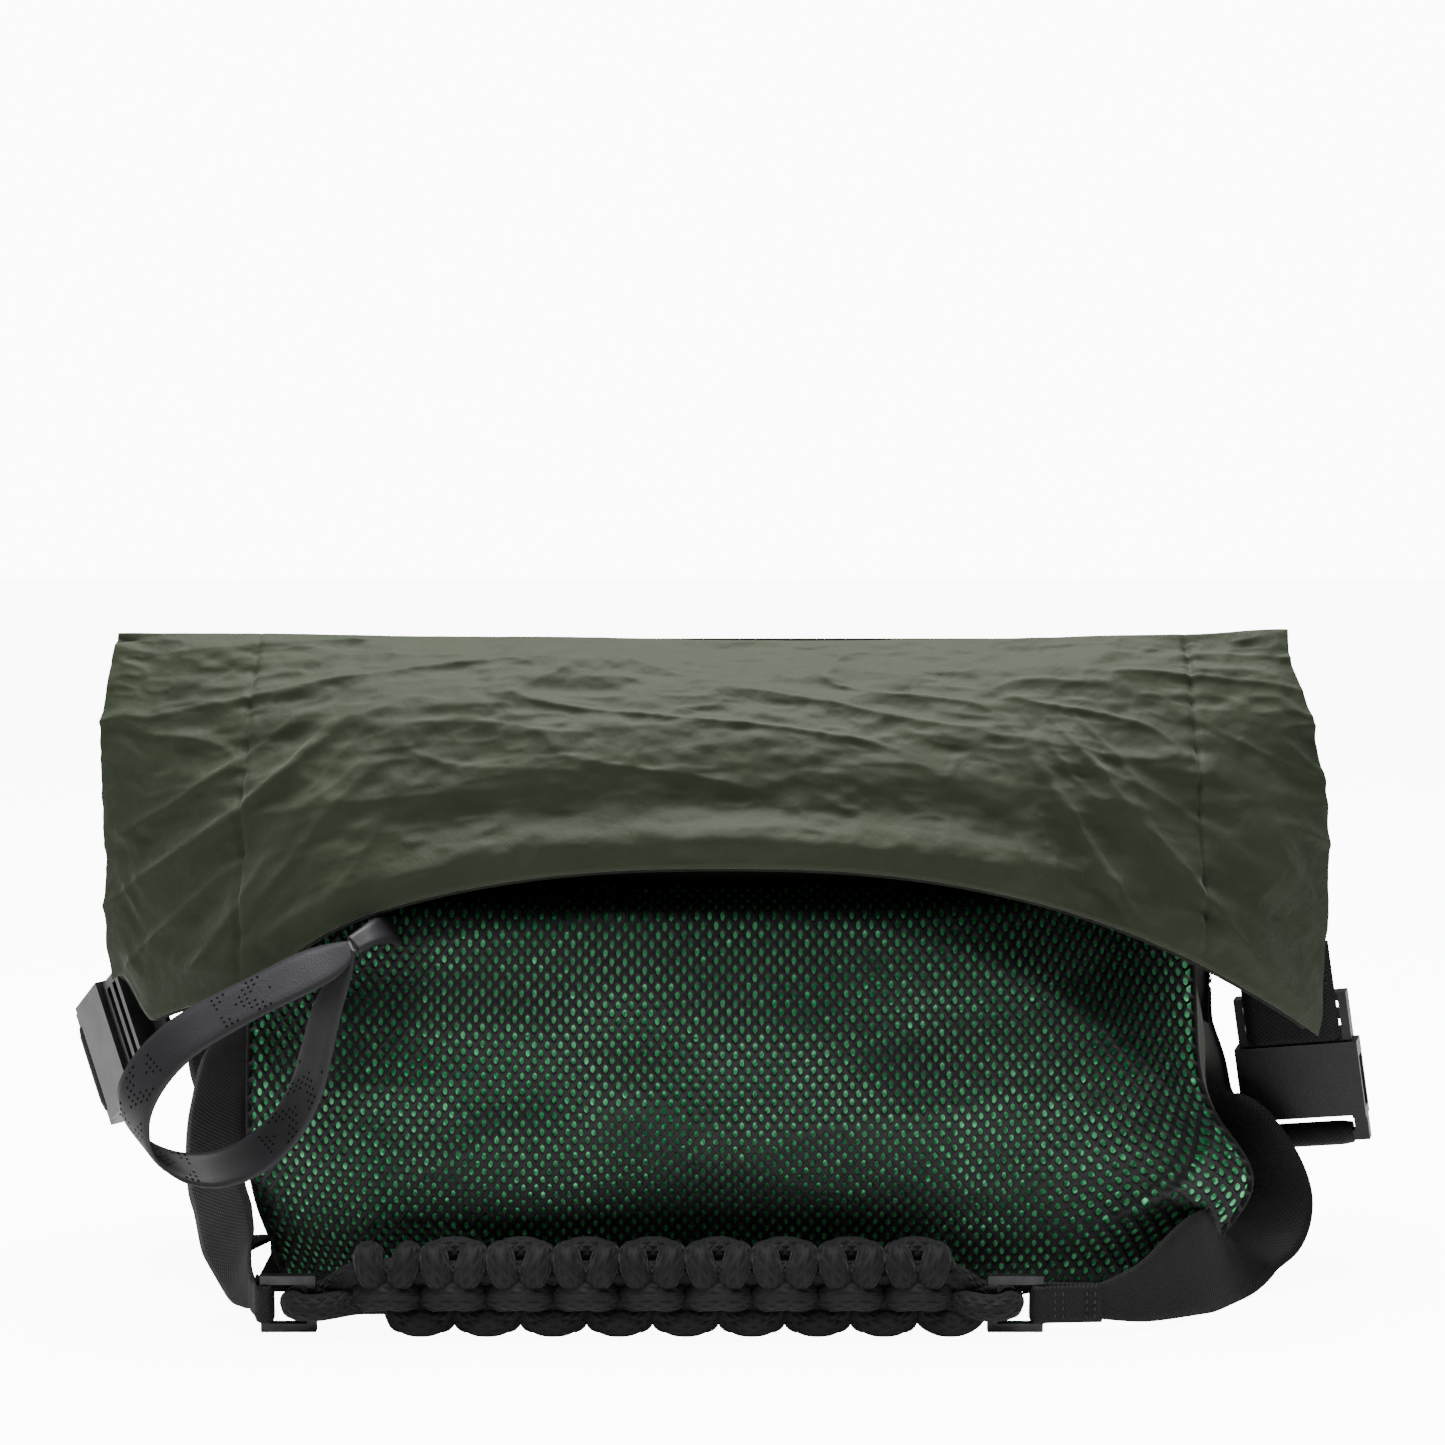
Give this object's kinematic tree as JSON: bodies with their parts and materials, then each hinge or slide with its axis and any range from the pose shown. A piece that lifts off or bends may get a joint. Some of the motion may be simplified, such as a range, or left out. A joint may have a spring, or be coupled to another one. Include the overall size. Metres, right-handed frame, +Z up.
{
  "type": "rope storage bag",
  "caption": "Low fold-over sling bag with mesh front, folded nylon sleeve, side-release buckles, wrist loop and a strap with a knotted cord grip.",
  "frame": {"origin": "middle of the base's underside, on the floor", "axes": "+X along the bag's width to the right seen from the front, -Y towards the front, +Z up"},
  "size_m": [0.5408, 0.169, 0.2585],
  "materials": {
    "olive_nylon": "crinkled",
    "green_lining": "glossy",
    "black_mesh": "satin",
    "black_webbing": "woven",
    "buckle_plastic": "fine texture",
    "ring_metal": "satin black",
    "grip_cord": "braided",
    "loop_rubber": "matte",
    "board": "matte"
  },
  "bodies": {
    "bag": {"base_panel": "olive_nylon", "base_board": "board", "front_lining": "green_lining", "front_mesh": "black_mesh", "back_panel": "olive_nylon", "gusset_left": "olive_nylon", "gusset_right": "olive_nylon", "neck_front": "olive_nylon", "neck_back": "olive_nylon", "ledge_binding": "black_webbing", "loop_anchor": "loop_rubber", "strap_anchor_left": "black_webbing", "strap_anchor_right": "black_webbing", "strap_tail_left": "black_webbing"},
    "sleeve": {"sleeve_center": "olive_nylon", "sleeve_wing_left": "olive_nylon", "sleeve_wing_right": "olive_nylon", "sleeve_inner": "olive_nylon", "hem_binding": "black_webbing", "tab_webbing_left": "black_webbing", "tab_webbing_right": "black_webbing", "buckle_male_left": "buckle_plastic", "buckle_male_right": "buckle_plastic"},
    "prong_left_outer": {"buckle_prong_left_outer": "buckle_plastic"},
    "prong_left_inner": {"buckle_prong_left_inner": "buckle_plastic"},
    "prong_right_inner": {"buckle_prong_right_inner": "buckle_plastic"},
    "prong_right_outer": {"buckle_prong_right_outer": "buckle_plastic"},
    "socket_left": {"buckle_female_left": "buckle_plastic", "bar_wrap_left": "black_webbing"},
    "socket_right": {"buckle_female_right": "buckle_plastic", "bar_wrap_right": "black_webbing"},
    "carry_grip": {"strap_webbing_left": "black_webbing", "strap_webbing_right": "black_webbing", "strap_end_left": "black_webbing", "strap_end_right": "black_webbing", "ring_left": "ring_metal", "ring_right": "ring_metal", "grip_core": "grip_cord", "grip_knots": "grip_cord"},
    "wrist_loop": {"wrist_loop": "loop_rubber"}
  },
  "joints": [
    {"name": "sleeve_fold", "type": "hinge", "parent": "bag", "child": "sleeve", "pos_m": [0, 0.002, 0.256], "axis": [-1, 0, 0], "range_deg": [0, 150]},
    {"name": "grip_lift", "type": "hinge", "parent": "bag", "child": "carry_grip", "pos_m": [0, 0.012, 0.115], "axis": [-1, 0, 0], "range_deg": [0, 95], "deforming": ["strap_webbing_left", "strap_webbing_right"]},
    {"name": "wrist_loop_lift", "type": "hinge", "parent": "bag", "child": "wrist_loop", "pos_m": [-0.134, -0.085, 0.15], "axis": [-1, 0, 0], "range_deg": [0, 80]},
    {"name": "buckle_release_left", "type": "slide", "parent": "sleeve", "child": "socket_left", "axis": [-0.4514, 0.728, -0.516], "range_m": [0, 0.03]},
    {"name": "prong_squeeze_left_outer", "type": "hinge", "parent": "sleeve", "child": "prong_left_outer", "pos_m": [-0.24961, 0.00075, 0.10764], "axis": [-0.8162, -0.5706, -0.091], "range_deg": [0, 17.5]},
    {"name": "prong_squeeze_left_inner", "type": "hinge", "parent": "sleeve", "child": "prong_left_inner", "pos_m": [-0.23735, -0.01217, 0.07868], "axis": [0.8162, 0.5706, 0.091], "range_deg": [0, 17.5]},
    {"name": "buckle_release_right", "type": "slide", "parent": "sleeve", "child": "socket_right", "axis": [0.147, -0.0535, -0.9877], "range_m": [0, 0.03]},
    {"name": "prong_squeeze_right_inner", "type": "hinge", "parent": "sleeve", "child": "prong_right_inner", "pos_m": [0.22131, 0.01062, 0.0846], "axis": [-0.342, -0.9397, 0], "range_deg": [0, 17.5]},
    {"name": "prong_squeeze_right_outer", "type": "hinge", "parent": "sleeve", "child": "prong_right_outer", "pos_m": [0.25287, -0.00087, 0.08992], "axis": [0.342, 0.9397, 0], "range_deg": [0, 17.5]}
  ],
  "couplings": [
    {"joint": "prong_squeeze_left_outer", "follows": "buckle_release_left", "rad_per_m": 10},
    {"joint": "prong_squeeze_left_inner", "follows": "buckle_release_left", "rad_per_m": 10},
    {"joint": "prong_squeeze_right_inner", "follows": "buckle_release_right", "rad_per_m": 10},
    {"joint": "prong_squeeze_right_outer", "follows": "buckle_release_right", "rad_per_m": 10}
  ]
}
